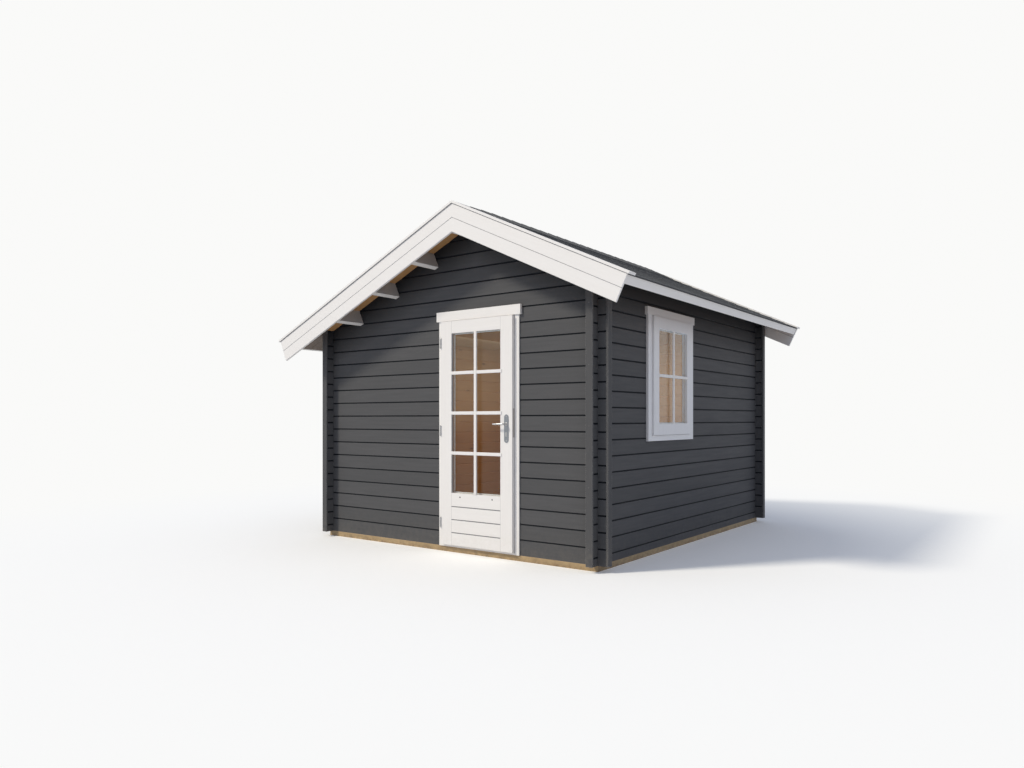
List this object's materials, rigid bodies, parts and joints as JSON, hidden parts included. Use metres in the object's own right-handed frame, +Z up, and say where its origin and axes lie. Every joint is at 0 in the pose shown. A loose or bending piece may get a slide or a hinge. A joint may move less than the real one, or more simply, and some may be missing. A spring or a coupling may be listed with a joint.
{
  "type": "garden log cabin",
  "caption": "Garden log cabin of interlocking logs with crossed corners, an offset gable roof with white boards, a glazed door on hinges with a lever, and a side window.",
  "frame": {"origin": "on the ground under the middle of the roof's outline", "axes": "+Z up, the gable with the door faces -Y, the wall with the window faces +X"},
  "size_m": [3.713, 3.806, 2.8088],
  "materials": {
    "grey_log_paint": "satin opaque paint on planed softwood",
    "white_paint": "satin white paint on planed softwood",
    "bare_timber": "bare planed softwood",
    "roofing_felt": "mineral-faced bitumen shingles",
    "steel_fittings": "brushed",
    "clear_glass": "clear"
  },
  "bodies": {
    "cabin": {"back_wall_even_logs": "grey_log_paint", "back_wall_odd_logs": "grey_log_paint", "corner_covers": "grey_log_paint", "door_casing_head": "white_paint", "door_casing_sides": "white_paint", "door_head": "white_paint", "door_hinge_frame_halves": "steel_fittings", "door_jambs": "white_paint", "door_threshold": "white_paint", "end_base_beams": "bare_timber", "fascias": "white_paint", "floor": "bare_timber", "floor_joists": "bare_timber", "front_wall_even_logs": "grey_log_paint", "front_wall_odd_logs": "grey_log_paint", "left_lower_bargeboards": "white_paint", "left_roof_deck": "bare_timber", "left_roofing": "roofing_felt", "left_upper_bargeboards": "white_paint", "left_verge_caps": "white_paint", "left_wall_even_logs": "grey_log_paint", "left_wall_odd_logs": "grey_log_paint", "purlins": "bare_timber", "ridge_covering": "roofing_felt", "ridge_purlin": "bare_timber", "right_lower_bargeboards": "white_paint", "right_roof_deck": "bare_timber", "right_roofing": "roofing_felt", "right_upper_bargeboards": "white_paint", "right_verge_caps": "white_paint", "right_wall_even_logs": "grey_log_paint", "right_wall_odd_logs": "grey_log_paint", "side_base_beams": "bare_timber", "window_casing_head_and_foot": "white_paint", "window_casing_sides": "white_paint", "window_frame": "white_paint", "window_glass": "clear_glass", "window_sash": "white_paint"},
    "door": {"door_stiles": "white_paint", "door_rails": "white_paint", "door_glass": "clear_glass", "door_hinge_leaf_halves": "steel_fittings", "lock_plates": "steel_fittings"},
    "handle": {"door_handle": "steel_fittings"}
  },
  "joints": [
    {"name": "door_swing", "type": "hinge", "parent": "cabin", "child": "door", "pos_m": [-0.0375, -1.64, 1], "axis": [0, 0, -1], "range_deg": [0, 110]},
    {"name": "lever_turn", "type": "hinge", "parent": "door", "child": "handle", "pos_m": [0.6465, -1.615, 1.06], "axis": [0, -1, 0], "range_deg": [0, 40], "stiffness_Nm_per_rad": 0.5, "springref_deg": -51.57}
  ]
}
